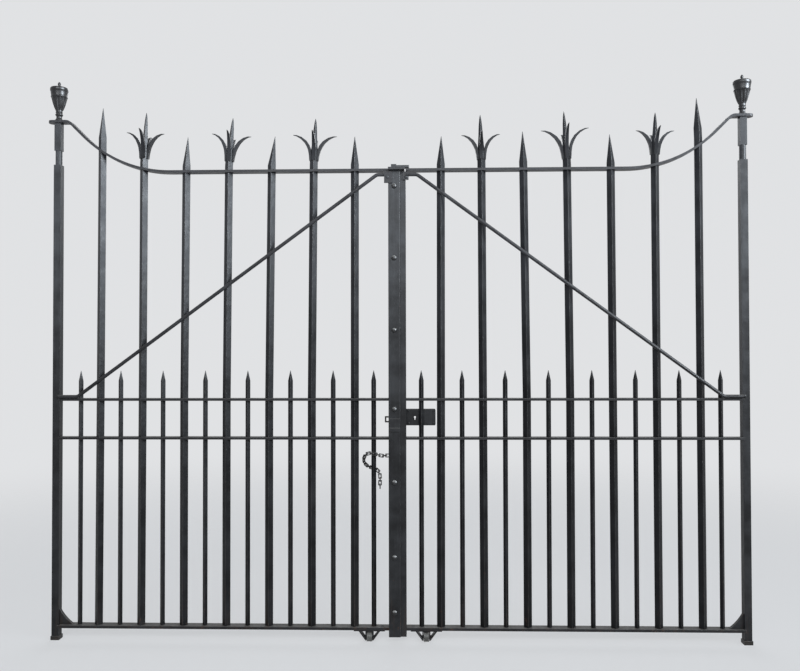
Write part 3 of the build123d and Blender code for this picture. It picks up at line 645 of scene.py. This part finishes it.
def shared_heads(side):
    """Heads that both leaves have, as (place, facing, radius), on the left or the right leaf."""
    found = []

    def add(x, y, z, facing, radius):
        """One head; x is measured from this leaf's own hanging axis."""
        place_x = x if side == "left" else 2 * SPAN - x
        turned_x = facing[0] if side == "left" else -facing[0]
        found.append(((place_x, y, z), (turned_x, facing[1], facing[2]), radius))

    for x in TALL_PLACES:
        add(x, 0.0, rail_low.z, DOWN, TALL_TENON)
    for x in DOG_PLACES:
        add(x, 0.0, rail_low.z, DOWN, DOG_TENON)
    for low, high in ((lower_low, lower_high), (upper_low, upper_high), (rail_low, rail_high)):
        add(outer_side, 0.0, (low.z + high.z) / 2, OUTWARD, RAIL_TENON)
    add(*BRACE_FOOT, FRONT, BRACE_FOOT_RADIUS)
    for step in (-FLANGE_HALF, FLANGE_HALF):
        for y in (-FLANGE_ROW, FLANGE_ROW):
            add(WHEEL_X + step, y, FLANGE_UNDER, DOWN, FLANGE_HEAD)
            add(WHEEL_X + step, y, rail_high.z, UP, FLANGE_TAIL)
    for way in (-1.0, 1.0):
        add(WHEEL_X + AXLE_HALF * way, 0.0, AXLE_Z, (way, 0.0, 0.0), AXLE_HEAD)
    return found


left_heads = shared_heads("left")
right_heads = shared_heads("right")
strip_bolts = []
for z in STRIP_BOLTS:
    strip_bolts.append(((BOLT_X, strip_low.y, z), FRONT, BOLT_RADIUS))
    strip_bolts.append(((BOLT_TAIL_X, stile_back, z), BACK, BOLT_TAIL_RADIUS))
left_heads.append((LEFT_BRACE_HEAD, FRONT, BRACE_HEAD_RADIUS))
right_heads.append((RIGHT_BRACE_HEAD, FRONT, BRACE_HEAD_RADIUS))
for x in (case_low.x + LOCK_INSET_X, case_high.x - LOCK_INSET_X):
    for z in (case_low.z + LOCK_INSET_Z, case_high.z - LOCK_INSET_Z):
        right_heads.append(((x, case_low.y, z), FRONT, LOCK_SCREW))
        right_heads.append(((x, case_high.y, z), BACK, LOCK_SCREW))

for name, body, heads, height_share, paint in (
        ("left_leaf_rivets", "left_leaf", left_heads, 0.42, plate_iron),
        ("right_leaf_rivets", "right_leaf", right_heads, 0.42, plate_iron),
        ("left_strip_bolts", "left_leaf", strip_bolts, 0.62, bolt_iron)):
    piece = bake_tree(name, [h[0] for h in heads],
                      {"facing": ("FLOAT_VECTOR", [h[1] for h in heads]),
                       "size": ("FLOAT", [h[2] for h in heads])},
                      dome_tree, {"Height Share": height_share, "Paint": paint})
    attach(piece, body)
    print(piece.name, "heads:", len(heads), "faces:", len(piece.data.polygons))

# %% [markdown]
# ## Fluted urns
# Each hanging stile ends in a cast urn: a foot, a ringed neck, a bowl with twelve hollow flutes, a
# plain band, a rim and a low lid with a knop. It is round apart from the flutes, so it is a grid of
# points: one outline turned round the stile, with each ring's radius drawn in where a flute is.
# Working the flutes into the radius gives a closed mesh that needs no cutting.

# %% Make the two urns
FLUTES = 12
FLUTE_DEPTH = 0.0026
FLUTE_LOW, FLUTE_HIGH = 0.0430, 0.0985
FLUTE_ENDS = 2.6
TURNS = 144
# Height above the foot and radius, both in metres
URN_OUTLINE = [
    (0.0000, 0.0160), (0.0015, 0.0172), (0.0040, 0.0168), (0.0062, 0.0140), (0.0100, 0.0120),
    (0.0150, 0.0112), (0.0190, 0.0116), (0.0215, 0.0132), (0.0240, 0.0150), (0.0265, 0.0154),
    (0.0290, 0.0144), (0.0310, 0.0122), (0.0330, 0.0126), (0.0350, 0.0142), (0.0370, 0.0144),
    (0.0390, 0.0131), (0.0420, 0.0136), (0.0470, 0.0158), (0.0530, 0.0186), (0.0600, 0.0213),
    (0.0680, 0.0239), (0.0740, 0.0256), (0.0790, 0.0270), (0.0850, 0.0285), (0.0900, 0.0298),
    (0.0945, 0.0309), (0.0975, 0.0315), (0.0990, 0.0328), (0.1010, 0.0334), (0.1030, 0.0329),
    (0.1045, 0.0321), (0.1110, 0.0329), (0.1180, 0.0338), (0.1235, 0.0344), (0.1255, 0.0356),
    (0.1300, 0.0363), (0.1345, 0.0361), (0.1375, 0.0352), (0.1390, 0.0338), (0.1394, 0.0302),
    (0.1402, 0.0282), (0.1422, 0.0240), (0.1445, 0.0175), (0.1458, 0.0115), (0.1468, 0.0078),
    (0.1484, 0.0052), (0.1510, 0.0050), (0.1535, 0.0062), (0.1565, 0.0066), (0.1600, 0.0055),
    (0.1630, 0.0034), (0.1650, 0.0016),
]


def flute_share(height):
    """How deep the flutes are at a height, from 0 to 1, with round ends."""
    across = (height - FLUTE_LOW) / (FLUTE_HIGH - FLUTE_LOW)
    if across <= 0.0 or across >= 1.0:
        return 0.0
    return min(1.0, FLUTE_ENDS * math.sqrt(across * (1.0 - across)))


def make_urn(name, low, high):
    """The urn on the middle of a box, from the box's lowest point up."""
    centre = (low + high) / 2
    points, faces = [], []
    for height, radius in URN_OUTLINE:
        for n in range(TURNS):
            angle = 2 * math.pi * n / TURNS
            ridge = abs(math.cos(FLUTES * angle / 2)) ** 0.8
            r = radius - FLUTE_DEPTH * flute_share(height) * (1.0 - ridge ** 3)
            points.append((centre.x + r * math.cos(angle), centre.y + r * math.sin(angle),
                           low.z + height))
    rings = len(URN_OUTLINE)
    for ring in range(rings - 1):
        for n in range(TURNS):
            a, b = ring * TURNS + n, ring * TURNS + (n + 1) % TURNS
            faces.append((a, b, b + TURNS, a + TURNS))
    faces.append(tuple(reversed(range(TURNS))))
    faces.append(tuple((rings - 1) * TURNS + n for n in range(TURNS)))
    mesh = bpy.data.meshes.new(name)
    mesh.from_pydata(points, [], faces)
    for face in mesh.polygons[:-2]:
        face.use_smooth = True
    mesh.materials.append(urn_iron)
    urn = bpy.data.objects.new(name, mesh)
    bpy.context.scene.collection.objects.link(urn)
    return urn


for side in ("left", "right"):
    urn = make_urn(side + "_fluted_urn", *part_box(side + "_urn"))
    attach(urn, side + "_leaf")
    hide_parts(side + "_urn")
    print(urn.name, "faces:", len(urn.data.polygons))

# %% [markdown]
# ## Keep plate
# Level with the lock, a thin plate is let on to the front of the slam strip, with a thicker lip
# along its lower half. It is small, so it is one outline seen from the side, run across the strip.

# %% Make the keep plate
PLATE_LOW, LIP_TOP, PLATE_TOP = 0.862, 0.880, 0.918
PLATE_OUT, LIP_OUT = 0.0022, 0.0044
LET_IN, CORNER, LOWER_CORNER, END_INSET = 0.001, 0.001, 0.0015, 0.004
front = strip_low.y
side_view = [
    (front + LET_IN, PLATE_LOW), (front - LIP_OUT, PLATE_LOW + LOWER_CORNER),
    (front - LIP_OUT, LIP_TOP - CORNER), (front - LIP_OUT + CORNER, LIP_TOP),
    (front - PLATE_OUT, LIP_TOP), (front - PLATE_OUT, PLATE_TOP - CORNER),
    (front - PLATE_OUT + CORNER, PLATE_TOP), (front + LET_IN, PLATE_TOP),
]
ends = (strip_low.x + END_INSET, strip_high.x)
points = [(x, y, z) for x in ends for y, z in side_view]
count = len(side_view)
faces = [tuple(range(count)), tuple(reversed(range(count, 2 * count)))]
faces += [(n, n + count, (n + 1) % count + count, (n + 1) % count) for n in range(count)]
plate_mesh = bpy.data.meshes.new("left_keep_plate")
plate_mesh.from_pydata(points, [], faces)
plate_mesh.materials.append(plate_iron)
plate_mesh.materials.append(worn_edge)
plate = bpy.data.objects.new("left_keep_plate", plate_mesh)
bpy.context.scene.collection.objects.link(plate)
rounding = plate.modifiers.new("rounding", "BEVEL")
rounding.width = 0.0007
rounding.segments = 2
rounding.material = 1
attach(plate, "left_leaf")
print("keep plate faces:", len(plate_mesh.polygons))

# %% [markdown]
# ## Sizes
# Paint and rivets must not change how large the gates are. The frame's box from the start is
# written here.

# %% Write the frame's box
print("cad box:", [[round(v, 4) for v in corner] for corner in cad_box])
